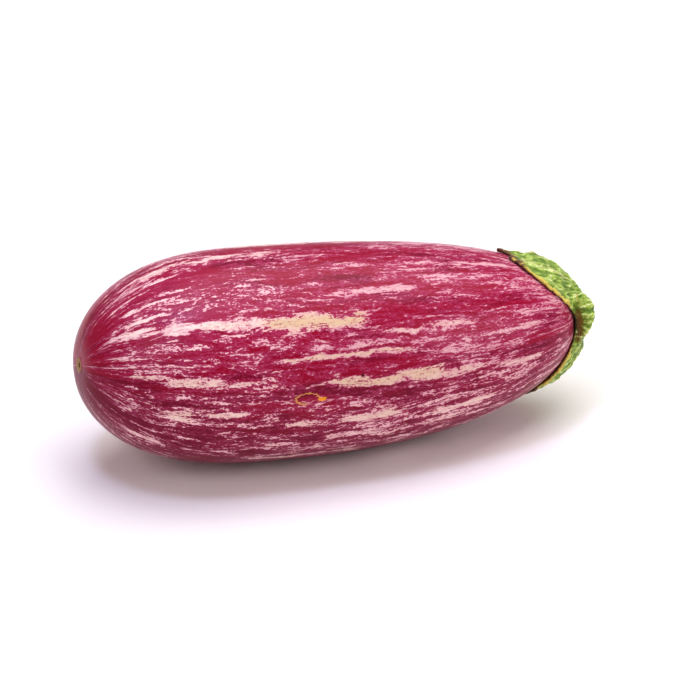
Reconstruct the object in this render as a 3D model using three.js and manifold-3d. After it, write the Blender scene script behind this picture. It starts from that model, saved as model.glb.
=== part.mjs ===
// A striped eggplant lying on its side: the fruit, its green calyx and the cut stem.
// Millimetres, +Z up. The fruit lies along X, with its blossom end towards -X and its stem towards +X.
// Round the fruit, azimuth 0 faces -Y, 90 is the top, 180 faces +Y and -90 is the underside.
import * as THREE from "three";
import { mergeVertices } from "three/addons/utils/BufferGeometryUtils.js";
import Module from "manifold-3d";

// ---- Driving dimensions ----

// The fruit: two superellipses of revolution that meet at its widest station.
const FRUIT_LENGTH = 138.5; // along its centreline, from pole to pole
const FRUIT_RADIUS = 29; // at the widest station
const WIDEST_AT = 0.375; // share of the length, from the blossom end
const BLOSSOM_END = { p: 2.8, q: 1.95 }; // full, with a slightly pointed tip
const STEM_END = { p: 2.2, q: 2.5 }; // a long shoulder
const BOW = 2.4; // degrees that the centreline is bowed up at each end
const BLOSSOM_TURN = 11; // degrees that the blossom end is turned towards -Y
const BLOSSOM_RISE = 4.7; // degrees that it is turned up, more than the bow
const STEM_TURN = 17.3; // degrees that the stem end is turned towards +Y

// The blossom scar: a shallow dimple round a corky ring with a pit in it.
const DIMPLE = { depth: 0.9, radius: 5.5 };
const SCAR_RING = { height: 0.35, radius: 1.45, width: 0.45 };
const SCAR_PIT = { depth: 0.7, radius: 0.55 };

// How it lies: it balances on its belly, where its own weight presses a small flat spot.
const REST_PITCH = 1.3; // degrees that the stem end is tipped down
const FLAT_DEPTH = 0.7; // how far the belly is flattened

// The calyx: a leathery cap over the stem end, with a raised collar and pointed lobes. The first lobe is
// folded back on itself, and the second and third have grown together into one with a forked tip.
const GAP = 0.35; // between the calyx and the fruit, and between the stem and its socket
const CAP_REACH = 12; // from the stem pole to the cap's rim, along the fruit's surface
const CAP_THICKNESS = 2.8;
const CAP_EDGE = 1.7; // thickness at the cap's rim
const COLLAR = { at: 6.4, height: 1.6, width: 1.3 };
const RIM_LIFT = { at: 10, height: 1.6, width: 34 }; // where the cap's rim stands off the fruit
const LOBE_ROOT = 6.5; // from the stem pole to where the lobes start
const LOBE_THICKNESS = 1.5;
const LOBE_EDGE = 0.8; // thickness at a lobe's edge
const LOBE_TIP = 0.4; // half the width left at the tip
const EDGE_LIFT = 0.5; // how far the edges turn up towards the tip
const EDGE_WAVE = { height: 0.3, width: 0.05, turns: 1.7 }; // a gentle ruffle along the edges
// at: azimuth of the root; lean: how far the tip is swung from it; length: from root to tip;
// half: half the greatest width; curl: degrees that the tip is turned off the fruit; keel: height of the midrib.
const LOBES = [
  { at: 16, lean: 12, length: 11, half: 6.4, curl: 160, keel: 0.8 },
  { at: 98, lean: 12, length: 22.6, half: 9.4, curl: 0, keel: 3.0 },
  { at: 70, lean: 20, length: 22.5, half: 9.3, curl: 2, keel: 1.4 },
  { at: 168, lean: 4, length: 28, half: 9.2, curl: 13, keel: 2.4 },
  { at: 236, lean: -6, length: 25, half: 8.8, curl: 12, keel: 2.2 },
  { at: 308, lean: -14, length: 20.4, half: 8.8, curl: 3, keel: 3.6 },
];

// The stem: a short ribbed stub, bent away towards +Y and cut across.
const STEM_LENGTH = 10;
const STEM_RADIUS = 3.9;
const STEM_FLARE = 1.1; // extra radius at the root, and half of it at the cut end
const STEM_RIBS = { count: 6, depth: 0.28 };
const STEM_LEAN = 24; // degrees that the root is turned further towards +Y than the fruit's stem end
const STEM_BEND = { turn: 50, rise: -64 }; // degrees, from the root to the cut end
const SOCKET_DEPTH = 1.2; // how far the root is let into the cap

// How finely the solids are faceted.
const FRUIT_SIDES = 60;
const FRUIT_RINGS = 36;
const CALYX_SIDES = 60;
const LOBE_STEPS = 13;
const LOBE_STRIPS = 8;
const STEM_SIDES = 36;
const STEM_RINGS = 9;

// ---- The fruit's surface ----

const radians = THREE.MathUtils.degToRad;
const bump = (x, centre, width) => Math.exp(-(((x - centre) / width) ** 2));

// Radius at a share t of the length.
function fruitRadius(t) {
  const blossom = t < WIDEST_AT;
  const { p, q } = blossom ? BLOSSOM_END : STEM_END;
  const away = blossom ? 1 - t / WIDEST_AT : (t - WIDEST_AT) / (1 - WIDEST_AT);
  return FRUIT_RADIUS * (1 - Math.min(away, 1) ** p) ** (1 / q);
}

// The share of the length at which the blossom end has a radius.
function blossomShare(radius) {
  const { p, q } = BLOSSOM_END;
  return WIDEST_AT * (1 - (1 - (radius / FRUIT_RADIUS) ** q) ** (1 / p));
}

// Axes of the cross-section whose centreline heads turn degrees towards +Y and rise degrees up.
function axes(turn, rise) {
  const [a, b] = [radians(turn), radians(rise)];
  const along = new THREE.Vector3(Math.cos(b) * Math.cos(a), Math.cos(b) * Math.sin(a), Math.sin(b));
  const side = new THREE.Vector3(Math.sin(a), -Math.cos(a), 0);
  return { along, side, up: side.clone().cross(along) };
}

// Points along a curved line whose heading is given at each share of its length.
function route(length, steps, heading) {
  const points = [new THREE.Vector3()];
  for (let i = 0; i < steps; i++) {
    const step = axes(...heading((i + 0.5) / steps)).along.multiplyScalar(length / steps);
    points.push(points[i].clone().add(step));
  }
  return (share) => {
    const at = THREE.MathUtils.clamp(share, 0, 1) * steps;
    const i = Math.min(Math.floor(at), steps - 1);
    return points[i].clone().lerp(points[i + 1], at - i);
  };
}

const fruitHeading = (t) => [
  BLOSSOM_TURN * (1 - t) ** 3 + STEM_TURN * t ** 3,
  BOW * (2 * t - 1) - BLOSSOM_RISE * (1 - t) ** 3,
];
const centreline = route(FRUIT_LENGTH, 140, fruitHeading);

// The cross-section is a little oval, with soft facets.
const facets = (azimuth, t) =>
  1 +
  0.01 * Math.cos(2 * azimuth + 0.6) +
  0.008 * Math.cos(3 * azimuth - 1.1 + 1.5 * t) +
  0.004 * Math.cos(5 * azimuth + 2);

// The point of the fruit's surface at a share t and an azimuth in radians, raised by height along its normal.
function onFruit(t, azimuth, height = 0) {
  const e = 1e-4;
  const inside = THREE.MathUtils.clamp(t, e, 1 - e);
  const slope = (fruitRadius(inside + e) - fruitRadius(inside - e)) / (2 * e * FRUIT_LENGTH);
  const { along, side, up } = axes(...fruitHeading(t));
  const radial = side.multiplyScalar(Math.cos(azimuth)).addScaledVector(up, Math.sin(azimuth));
  const normal = radial.clone().addScaledVector(along, -slope).normalize();
  const radius = fruitRadius(t) * facets(azimuth, t);
  return centreline(t).addScaledVector(radial, radius).addScaledVector(normal, height);
}

// How far the dimple, the ring and the pit move the blossom end's skin inwards, at a distance from its pole.
const blossomRelief = (radius) =>
  DIMPLE.depth * bump(radius, 0, DIMPLE.radius) -
  SCAR_RING.height * bump(radius, SCAR_RING.radius, SCAR_RING.width) +
  SCAR_PIT.depth * bump(radius, 0, SCAR_PIT.radius);

// Shares of the length by distance from the stem pole, measured along the surface.
const shoulder = [{ t: 1, run: 0 }];
for (let i = 1; i <= 300; i++) {
  const t = 1 - 0.5 * (i / 300) ** 2;
  const last = shoulder[i - 1];
  const step = Math.hypot((last.t - t) * FRUIT_LENGTH, fruitRadius(t) - fruitRadius(last.t));
  shoulder.push({ t, run: last.run + step });
}

function shareAt(run) {
  const i = Math.max(1, shoulder.findIndex((s) => s.run >= run));
  const [a, b] = [shoulder[i - 1], shoulder[i]];
  return a.t + ((b.t - a.t) * (run - a.run)) / (b.run - a.run);
}

// The point at a distance from the stem pole along the surface, at an azimuth in radians, raised by height.
const onShoulder = (run, azimuth, height) => onFruit(shareAt(Math.max(run, 0)), azimuth, height);

// ---- Solids ----

// A geometry from points and triangles of their indices.
function geometryOf(points, triangles) {
  const geometry = new THREE.BufferGeometry().setFromPoints(points);
  return geometry.setIndex(triangles);
}

// A closed body skinned over rings of equal count, with a pole at each end. It faces out where the rings,
// seen along the way from the first to the last, run clockwise.
function skinned(first, rings, last) {
  const sides = rings[0].length;
  const points = [first, ...rings.flat(), last];
  const at = (ring, side) => 1 + ring * sides + (side % sides);
  const triangles = [];
  for (let side = 0; side < sides; side++) {
    triangles.push(0, at(0, side), at(0, side + 1));
    for (let ring = 0; ring + 1 < rings.length; ring++) {
      triangles.push(at(ring, side), at(ring + 1, side), at(ring + 1, side + 1));
      triangles.push(at(ring, side), at(ring + 1, side + 1), at(ring, side + 1));
    }
    triangles.push(at(rings.length - 1, side), points.length - 1, at(rings.length - 1, side + 1));
  }
  return geometryOf(points, triangles);
}

const around = (sides, point) => Array.from({ length: sides }, (_, i) => point((2 * Math.PI * i) / sides));

function fruitGeometry(floorAt) {
  const scarRadii = [0.35, 0.7, 1.05, 1.4, 1.75, 2.2, 3, 4.2];
  const shares = scarRadii.map(blossomShare);
  for (let i = 1; i < FRUIT_RINGS; i++) {
    const t = (1 - Math.cos((Math.PI * i) / FRUIT_RINGS)) / 2;
    if (fruitRadius(t) > scarRadii.at(-1) + 0.8 || t > WIDEST_AT) shares.push(t);
  }
  const skin = (t, azimuth) => {
    const point = onFruit(t, azimuth);
    if (t < WIDEST_AT / 2) point.addScaledVector(axes(...fruitHeading(0)).along, blossomRelief(fruitRadius(t)));
    point.z = Math.max(point.z, floorAt(point.x));
    return point;
  };
  return skinned(
    skin(0, 0),
    shares.map((t) => around(FRUIT_SIDES, (azimuth) => skin(t, azimuth))),
    onFruit(1, 0),
  );
}

// The shortest way round from one azimuth to another, in degrees.
const swing = (from, to) => ((((to - from) % 360) + 540) % 360) - 180;

const off = (azimuth, at, width) => bump(swing(at, THREE.MathUtils.radToDeg(azimuth)), 0, width);

// The cap: a dome over the stem pole, with the collar, and a rib towards each lobe.
function capGeometry() {
  const runs = [1.5, 3.2, 4.3, 5.3, 6.3, 7.3, 8.5, 10.2, CAP_REACH];
  const under = (run, azimuth) => {
    const outside = THREE.MathUtils.smoothstep(run, LOBE_ROOT, CAP_REACH);
    return GAP + RIM_LIFT.height * outside * off(azimuth, RIM_LIFT.at, RIM_LIFT.width);
  };
  const top = (run, azimuth) => {
    const outside = THREE.MathUtils.smoothstep(run, COLLAR.at, CAP_REACH);
    const rib = Math.max(...LOBES.map((lobe) => lobe.keel * off(azimuth, lobe.at, 16)));
    const thick = CAP_THICKNESS + (CAP_EDGE - CAP_THICKNESS) * outside;
    return under(run, azimuth) + thick + rib * outside + COLLAR.height * bump(run, COLLAR.at, COLLAR.width);
  };
  const ring = (run, height) => around(CALYX_SIDES, (azimuth) => onShoulder(run, azimuth, height(run, azimuth)));
  // The rings run out to the rim on the underside, and back to the pole on top.
  const rings = [...runs.map((run) => ring(run, under)), ...runs.toReversed().map((run) => ring(run, top))];
  return skinned(onShoulder(0, 0, GAP), rings, onShoulder(0, 0, GAP + CAP_THICKNESS));
}

// Half the width of a lobe at a share of the way from its root to its tip, as a share of the greatest.
const lobeWidth = (share) => 1.06 * (0.82 + 0.4 * share) * (1 - share ** 2.3) ** 0.85;

// A lobe: a thick leaf that lies along the fruit, keeled down its middle, with its edges turned up a little.
function lobeGeometry({ at, lean, length, half, curl, keel }) {
  // The line from root to tip: its distance from the stem pole, its height off the fruit and its slope.
  const line = [{ run: LOBE_ROOT, height: GAP, slope: 0 }];
  for (let step = 1; step <= LOBE_STEPS; step++) {
    const { run, height } = line[step - 1];
    const slope = radians(curl) * ((step - 0.5) / LOBE_STEPS) ** 1.6;
    const stride = length / LOBE_STEPS;
    line.push({ run: run + stride * Math.cos(slope), height: height + stride * Math.sin(slope), slope });
  }
  const surface = (step, strip, upper) => {
    const share = step / LOBE_STEPS;
    const across = (2 * strip) / LOBE_STRIPS - 1;
    const { run, height, slope } = line[step];
    const ruffle = Math.sin(2 * Math.PI * EDGE_WAVE.turns * share + at + across);
    const width = Math.max(half * lobeWidth(share) * (1 + EDGE_WAVE.width * ruffle), LOBE_TIP);
    const azimuth = radians(at + lean * share ** 1.5) + (across * width) / fruitRadius(shareAt(run));
    const thinner = 1 - 0.6 * THREE.MathUtils.smoothstep(share, 0.4, 1);
    const ridge = keel * (1 - Math.abs(across)) ** 1.4 * (1 - 0.9 * share);
    const leaf = LOBE_EDGE + (LOBE_THICKNESS - LOBE_EDGE) * (1 - across ** 2);
    const thick = upper ? (leaf + ridge) * thinner : 0;
    const raised = (EDGE_LIFT * share + EDGE_WAVE.height * (1 + ruffle)) * across ** 4 + thick;
    return onShoulder(run - raised * Math.sin(slope), azimuth, height + raised * Math.cos(slope));
  };
  const points = [];
  const index = (step, strip, upper) => (step * (LOBE_STRIPS + 1) + strip) * 2 + (upper ? 1 : 0);
  for (let step = 0; step <= LOBE_STEPS; step++)
    for (let strip = 0; strip <= LOBE_STRIPS; strip++)
      for (const upper of [false, true])
        points.push(surface(step, strip, upper));
  const triangles = [];
  const quad = (a, b, c, d) => triangles.push(a, b, c, a, c, d);
  for (let step = 0; step < LOBE_STEPS; step++) {
    for (let strip = 0; strip < LOBE_STRIPS; strip++)
      for (const upper of [false, true]) {
        const corners = [index(step, strip, upper), index(step + 1, strip, upper)];
        corners.push(index(step + 1, strip + 1, upper), index(step, strip + 1, upper));
        quad(...(upper ? corners.toReversed() : corners));
      }
    for (const strip of [0, LOBE_STRIPS]) {
      const corners = [index(step, strip, false), index(step + 1, strip, false)];
      corners.push(index(step + 1, strip, true), index(step, strip, true));
      quad(...(strip ? corners : corners.toReversed()));
    }
  }
  for (let strip = 0; strip < LOBE_STRIPS; strip++)
    for (const step of [0, LOBE_STEPS]) {
      const corners = [index(step, strip, false), index(step, strip, true)];
      corners.push(index(step, strip + 1, true), index(step, strip + 1, false));
      quad(...(step ? corners : corners.toReversed()));
    }
  return geometryOf(points, triangles);
}

// The stem, grown by a margin all round to cut its socket.
function stemGeometry(margin = 0) {
  const [turn, rise] = fruitHeading(1);
  const heading = (share) => [turn + STEM_LEAN + STEM_BEND.turn * share, rise + STEM_BEND.rise * share];
  const way = route(STEM_LENGTH, 20, heading);
  const root = onShoulder(0, 0, GAP + CAP_THICKNESS - SOCKET_DEPTH);
  const station = (share, azimuth, inset = 1) => {
    const { side, up } = axes(...heading(share));
    const flare = STEM_FLARE * ((1 - share) ** 3 + 0.5 * share ** 6);
    const radius = STEM_RADIUS + flare + STEM_RIBS.depth * Math.cos(STEM_RIBS.count * azimuth) + margin;
    return way(share)
      .add(root)
      .addScaledVector(side, inset * radius * Math.cos(azimuth))
      .addScaledVector(up, inset * radius * Math.sin(azimuth));
  };
  const rings = [];
  for (let i = 0; i <= STEM_RINGS; i++)
    rings.push(around(STEM_SIDES, (azimuth) => station(i / STEM_RINGS, azimuth)));
  const start = axes(...heading(0)).along.multiplyScalar(-margin);
  rings[0].forEach((point) => point.add(start));
  rings.push(around(STEM_SIDES, (azimuth) => station(1, azimuth, 0.8)));
  return skinned(root.clone().add(start), rings, way(1).add(root));
}

// ---- Cutting and joining ----

const wasm = await Module();
wasm.setup();

function solidOf(geometry) {
  const merged = mergeVertices(geometry, 1e-4);
  const mesh = new wasm.Mesh({
    numProp: 3,
    vertProperties: new Float32Array(merged.attributes.position.array),
    triVerts: new Uint32Array(merged.index.array),
  });
  return new wasm.Manifold(mesh);
}

function geometryFrom(solid) {
  const { vertProperties, triVerts, numProp, numVert } = solid.getMesh();
  const points = [];
  for (let i = 0; i < numVert; i++)
    points.push(new THREE.Vector3().fromArray(vertProperties, i * numProp));
  return geometryOf(points, Array.from(triVerts));
}

function calyxGeometry() {
  const grown = LOBES.map((lobe) => solidOf(lobeGeometry(lobe))).reduce((a, b) => a.add(b), solidOf(capGeometry()));
  return geometryFrom(grown.subtract(solidOf(stemGeometry(GAP))));
}

// ---- The eggplant ----

const finish = (color, roughness) => new THREE.MeshStandardMaterial({ color, roughness, metalness: 0 });

function part(name, geometry, material) {
  const mesh = new THREE.Mesh(geometry, material);
  mesh.name = name;
  return mesh;
}

// The height of the table under the fruit's own frame, once it is tipped to rest on its belly.
function tableUnder() {
  const pitch = radians(REST_PITCH);
  let lowest = Infinity;
  for (let t = 0.2; t < 0.8; t += 0.002)
    for (let azimuth = -110; azimuth < -70; azimuth += 1) {
      const point = onFruit(t, radians(azimuth));
      lowest = Math.min(lowest, point.z * Math.cos(pitch) - point.x * Math.sin(pitch));
    }
  const level = lowest + FLAT_DEPTH;
  return { level, at: (x) => (level + x * Math.sin(pitch)) / Math.cos(pitch) };
}

const table = tableUnder();
const eggplant = new THREE.Group();
eggplant.add(
  part("fruit", fruitGeometry(table.at), finish("#8a1c45", 0.3)),
  part("calyx", calyxGeometry(), finish("#7fae3f", 0.6)),
  part("stem", stemGeometry(), finish("#8fb653", 0.6)),
);
eggplant.rotation.y = radians(REST_PITCH);

// The origin is on the table, under the middle of the whole.
const lying = new THREE.Group();
lying.add(eggplant);
lying.updateMatrixWorld(true);
const box = new THREE.Box3().setFromObject(lying, true);
const middle = box.getCenter(new THREE.Vector3());
eggplant.position.set(-middle.x, -middle.y, -table.level);

export default lying;
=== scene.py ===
"""A striped eggplant lying on its side: the glossy fruit, its leathery green calyx and the cut stem.

Each piece starts as a sphere whose rings are moved to the piece's own cross-sections. Lengths are in metres.
"""

import math

import bpy
import numpy as np
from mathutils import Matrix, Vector, kdtree, noise


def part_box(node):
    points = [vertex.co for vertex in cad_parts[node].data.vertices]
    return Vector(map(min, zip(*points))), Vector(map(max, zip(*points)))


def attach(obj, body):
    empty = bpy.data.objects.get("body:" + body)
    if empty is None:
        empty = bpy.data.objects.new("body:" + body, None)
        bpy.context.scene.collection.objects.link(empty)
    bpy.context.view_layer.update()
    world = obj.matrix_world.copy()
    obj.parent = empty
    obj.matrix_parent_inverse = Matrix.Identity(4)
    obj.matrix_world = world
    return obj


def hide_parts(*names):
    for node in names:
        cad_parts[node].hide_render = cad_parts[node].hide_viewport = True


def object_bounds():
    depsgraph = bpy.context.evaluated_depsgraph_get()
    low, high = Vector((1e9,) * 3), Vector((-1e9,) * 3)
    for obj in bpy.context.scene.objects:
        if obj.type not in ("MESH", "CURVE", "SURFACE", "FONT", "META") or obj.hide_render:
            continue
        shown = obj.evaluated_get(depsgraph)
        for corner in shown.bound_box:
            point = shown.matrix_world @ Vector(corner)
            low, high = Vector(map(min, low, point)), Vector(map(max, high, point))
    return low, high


bl_info = {
    "name": "Striped eggplant",
    "version": (1, 0, 0),
    "blender": (4, 5, 0),
    "location": "View3D > Sidebar > Eggplant",
    "description": "A striped eggplant with its calyx and cut stem, on a white studio floor",
    "category": "Add Mesh",
}

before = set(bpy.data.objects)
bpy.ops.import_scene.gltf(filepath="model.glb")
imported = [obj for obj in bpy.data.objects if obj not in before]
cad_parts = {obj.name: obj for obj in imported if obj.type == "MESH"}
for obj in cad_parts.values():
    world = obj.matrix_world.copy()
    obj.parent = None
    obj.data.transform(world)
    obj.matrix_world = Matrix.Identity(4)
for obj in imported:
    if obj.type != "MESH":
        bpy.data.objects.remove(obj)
CAD_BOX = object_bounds()
FRUIT_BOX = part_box("fruit")

MM = 0.001


# ---- What a user would change ----


def linear(hex_colour):
    """An sRGB hex colour as linear red, green, blue and alpha."""
    channels = [int(hex_colour[i : i + 2], 16) / 255 for i in (1, 3, 5)]
    return [c / 12.92 if c <= 0.04045 else ((c + 0.055) / 1.055) ** 2.4 for c in channels] + [1.0]


def length(name, millimetres, description):
    """A length property, whose default is given in millimetres."""
    return bpy.props.FloatProperty(
        name=name, description=description, default=millimetres * MM, unit="LENGTH", precision=5
    )


def angle(name, degrees, description):
    """An angle property, whose default is given in degrees."""
    return bpy.props.FloatProperty(
        name=name, description=description, default=math.radians(degrees), subtype="ANGLE"
    )


def share(name, default, description):
    """A property between 0 and 1."""
    return bpy.props.FloatProperty(name=name, description=description, default=default, min=0, max=1)


def colour(name, hex_colour, description):
    """A colour property, whose default is an sRGB hex value."""
    return bpy.props.FloatVectorProperty(
        name=name, description=description, default=linear(hex_colour), size=4, subtype="COLOR", min=0, max=1
    )


class FruitSettings(bpy.types.PropertyGroup):
    """The fruit's form and the colours of its skin."""

    length: length("Length", 138.5, "Along the centreline, from the blossom end to the stem end")
    radius: length("Radius", 29, "At the widest station")
    widest: share("Widest at", 0.375, "Share of the length, from the blossom end")
    bow: angle("Bow", 2.4, "How far each end of the centreline is bowed up")
    blossom_turn: angle("Blossom end turned", 11, "Towards -Y")
    blossom_rise: angle("Blossom end raised", 4.7, "More than the bow")
    stem_turn: angle("Stem end turned", 17.3, "Towards +Y")
    pitch: angle("Pitch", 1.3, "How far the stem end is tipped down as it lies")
    flat: length("Flat spot", 0.7, "How far the belly is flattened where it rests")
    base: colour("Skin", "#8E072B", "Crimson of the skin between the streaks")
    # Also painted over the underside as shade.
    dark: colour("Dark skin", "#6E0828", "Wine red of the deepest skin")
    # Also painted as a sheen on the top near the tip.
    haze: colour("Haze", "#A43E63", "Pink speckle between the streaks")
    streak: colour("Streak", "#E2B4B8", "Pinkish white of the thin streaks")
    bright: colour("Bright streaks", "#EED6CE", "Skin where the streaks are palest")
    cream: colour("Cream", "#CFB494", "Cream of the broad streaks")
    healed: colour("Healed scratch", "#CF9858", "Straw of the loop-shaped scratch")
    cork: colour("Blossom scar", "#A68A66", "Cork of the ring at the tip")
    pit: colour("Pit", "#3A2415", "Dark middle of the blossom scar")


class CalyxSettings(bpy.types.PropertyGroup):
    """The calyx's form and colours."""

    gap: length("Gap", 0.05, "Between the calyx and the fruit")
    reach: length("Cap reach", 12, "From the stem pole to the cap's rim, along the fruit")
    thickness: length("Thickness", 2.8, "Of the cap at the stem")
    edge: length("Rim thickness", 1.7, "Of the cap at its rim")
    voxel: length("Voxel", 0.27, "Grain of the mesh that the lobes are grown together with")
    leaf: colour("Leaf", "#98AF48", "Green of the leathery face")
    # Also painted shade in the furrows between the raised web.
    leaf_dark: colour("Dark leaf", "#587822", "Deeper green of the mottling")
    # Also painted highlight, most of all on the raised web.
    leaf_pale: colour("Pale leaf", "#DCE6A8", "Bloom on the raised parts")
    vein: colour("Keel", "#C2BB78", "Straw of the worn keels")
    rim: colour("Rim", "#D2BC5C", "Straw yellow of the thin edges")
    dry: colour("Dry tip", "#5C3B22", "Brown of the dried tips")
    beneath: colour("Underside", "#7A5A18", "Brown of the underside near the fruit")
    scab: colour("Scab", "#7D5A30", "Corky flecks")


class StemSettings(bpy.types.PropertyGroup):
    """The stem's form and colours."""

    length: length("Length", 10, "From its root in the calyx to the cut")
    radius: length("Radius", 3.9, "Halfway along")
    sunk: length("Sunk", 0.9, "How far the root is let into the calyx")
    lean: angle("Lean", 24, "How far the root is turned further towards +Y than the fruit's end")
    bend: angle("Bend", 50, "From the root to the cut, towards +Y")
    droop: angle("Droop", 64, "From the root to the cut, downwards")
    skin: colour("Stem", "#7FA23C", "Green of the stalk")
    skin_dark: colour("Dark stem", "#55782A", "Its grooves")
    skin_pale: colour("Pale stem", "#B9CC7A", "Its ribs")
    cork: colour("Cork", "#B08A55", "Corky flecks and the rim of the cut")
    cut: colour("Cut", "#E3C08A", "The dried cut face")
    cut_pale: colour("Pale cut", "#F1DFBC", "Its palest fibres")


class StageSettings(bpy.types.PropertyGroup):
    """The camera and the studio."""

    azimuth: angle("Azimuth", -11, "The camera's way round the fruit, from -Y")
    elevation: angle("Elevation", 28, "The camera's height above the floor")
    distance: bpy.props.FloatProperty(
        name="Distance", description="From the camera to the fruit", default=0.75, unit="LENGTH"
    )
    lens: bpy.props.FloatProperty(name="Lens", description="Focal length", default=145, unit="CAMERA")
    paper: colour("Floor", "#F0EEEE", "Matt paper that the fruit lies on")
    fill: colour("Fill", "#FFEFF2", "Light from all round")
    fill_strength: share("Fill strength", 0.28, "Brightness of the light from all round")


# ---- The fruit's surface ----

BLOSSOM_END = (2.8, 1.95)  # powers of the superellipse that rounds each end
STEM_END = (2.2, 2.5)
CENTRELINE_STEPS = 140
SHOULDER_STEPS = 300
SURVEY_STEPS = (300, 361)  # along and round the fruit, where its reach is measured
FIBRE_RADIUS = 12 * MM  # of the circle round the stem pole on which the leaf's fibres are spaced
DRAWN_OUT = (1, 1, 0.4)  # scales places so that noise is longer along the last axis
# Soft facets: count, share of the radius, phase, and its drift from end to end.
OVAL = ((2, 0.010, 0.6, 0), (3, 0.008, -1.1, 1.5), (5, 0.004, 2.0, 0))


def bump(x, centre, width):
    """A rounded bump of height 1."""
    return np.exp(-(((x - centre) / width) ** 2))


def smooth_step(x, low, high):
    """0 below low, 1 above high, and smooth between."""
    t = np.clip((x - low) / (high - low), 0, 1)
    return t * t * (3 - 2 * t)


def swing(azimuth, degrees):
    """How far round, in degrees, the azimuth is from one given in degrees."""
    return (np.degrees(azimuth) - degrees + 180) % 360 - 180


def axes(turn, rise):
    """The axes of a cross-section whose centreline heads turn towards +Y and rise up: along, side, up."""
    along = np.stack([np.cos(rise) * np.cos(turn), np.cos(rise) * np.sin(turn), np.sin(rise)], -1)
    side = np.stack([np.sin(turn), -np.cos(turn), np.zeros_like(turn)], -1)
    return along, side, np.cross(side, along)


def route(total, steps, heading):
    """A function that gives the point at a share of a curved line, whose heading is given at each share."""
    stride = axes(*heading((np.arange(steps) + 0.5) / steps))[0] * total / steps
    points = np.concatenate([np.zeros((1, 3)), np.cumsum(stride, axis=0)])
    shares = np.arange(steps + 1) / steps
    return lambda at: np.stack([np.interp(at, shares, points[:, i]) for i in range(3)], -1)


class FruitForm:
    """Points of the fruit's surface, by share of its length and azimuth round it.

    Share 0 is the blossom pole and 1 the stem pole. Azimuth 0 faces -Y, and a quarter turn on is the top.
    """

    def __init__(self, size):
        self.size = size
        self.centreline = route(size.length, CENTRELINE_STEPS, self.heading)
        shares = 1 - 0.5 * (np.arange(SHOULDER_STEPS + 1) / SHOULDER_STEPS) ** 2
        runs = np.hypot(np.diff(shares) * size.length, np.diff(self.radius(shares)))
        self.shoulder_shares = shares
        self.shoulder_runs = np.concatenate([[0], np.cumsum(runs)])
        self.shift = np.zeros(3)
        stations, turns = np.linspace(0, 1, SURVEY_STEPS[0]), np.linspace(0, 2 * np.pi, SURVEY_STEPS[1])
        at, azimuth = np.meshgrid(stations, turns)
        rough = self.placed(self.surface(at, azimuth)).reshape(-1, 3)
        low, high = rough.min(0), rough.max(0)
        self.shift = (np.add(*FRUIT_BOX) - low - high) / 2
        self.shift[2] = -low[2] - size.flat

    def radius(self, at):
        """Radius at a share of the length."""
        widest = self.size.widest
        blossom = at < widest
        away = np.where(blossom, 1 - at / widest, (at - widest) / (1 - widest))
        p, q = (np.where(blossom, a, b) for a, b in zip(BLOSSOM_END, STEM_END))
        return self.size.radius * (1 - np.minimum(away, 1) ** p) ** (1 / q)

    def heading(self, at):
        """How far the centreline is turned and raised at a share of the length."""
        size = self.size
        turn = size.blossom_turn * (1 - at) ** 3 + size.stem_turn * at**3
        return turn, size.bow * (2 * at - 1) - size.blossom_rise * (1 - at) ** 3

    def surface(self, at, azimuth, height=0.0):
        """The point at a share and an azimuth, raised along the surface's normal."""
        e = 1e-4
        inside = np.clip(at, e, 1 - e)
        slope = (self.radius(inside + e) - self.radius(inside - e)) / (2 * e * self.size.length)
        along, side, up = axes(*self.heading(at))
        radial = side * np.cos(azimuth)[..., None] + up * np.sin(azimuth)[..., None]
        normal = radial - along * slope[..., None]
        normal /= np.linalg.norm(normal, axis=-1, keepdims=True)
        oval = sum(depth * np.cos(n * azimuth + phase + drift * at) for n, depth, phase, drift in OVAL)
        reach = self.radius(at) * (1 + oval)
        height = np.broadcast_to(height, np.shape(at))
        return self.centreline(at) + radial * reach[..., None] + normal * height[..., None]

    def shoulder(self, run, azimuth, height):
        """The point at a distance from the stem pole, measured along the surface."""
        at = np.interp(np.maximum(run, 0), self.shoulder_runs, self.shoulder_shares)
        return self.surface(at, azimuth, height)

    def shoulder_radius(self, run):
        """The fruit's radius at a distance from the stem pole."""
        return self.radius(np.interp(run, self.shoulder_runs, self.shoulder_shares))

    def round_the_stem(self, points):
        """Placed points, unrolled along lines from the stem: the way round its pole, and how far off."""
        end = np.ones(1)
        pole = self.placed(self.centreline(end))
        compass = [self.placed(self.centreline(end) + axis) - pole for axis in axes(*self.heading(end))]
        along, side, up = ((points - pole) @ axis[0] for axis in compass)
        out = np.maximum(np.hypot(side, up), 0.1 * MM)
        return np.stack([FIBRE_RADIUS * side / out, FIBRE_RADIUS * up / out, np.hypot(along, out)], -1)

    def placed(self, points):
        """Points as they lie: tipped to rest on the belly, and moved over the origin."""
        c, s = math.cos(self.size.pitch), math.sin(self.size.pitch)
        x, y, z = points[..., 0], points[..., 1], points[..., 2]
        return np.stack([x * c + z * s, y, z * c - x * s], -1) + self.shift


# ---- Modelling ----


def select_only(*pieces):
    """Selects these objects and nothing else, with the first one active."""
    bpy.ops.object.select_all(action="DESELECT")
    for piece in pieces:
        piece.select_set(True)
    bpy.context.view_layer.objects.active = pieces[0]


def points_of(piece):
    """The vertices' places, as rows of an array."""
    points = np.empty(len(piece.data.vertices) * 3)
    piece.data.vertices.foreach_get("co", points)
    return points.reshape(-1, 3)


def move_points(piece, points):
    """Puts the vertices where the rows of points say."""
    piece.data.vertices.foreach_set("co", np.ascontiguousarray(points, dtype=np.float64).ravel())
    piece.data.update()


def normals_of(piece):
    """The vertices' normals, as rows of an array."""
    normals = np.empty(len(piece.data.vertices) * 3)
    piece.data.vertex_normals.foreach_get("vector", normals)
    return normals.reshape(-1, 3)


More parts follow.
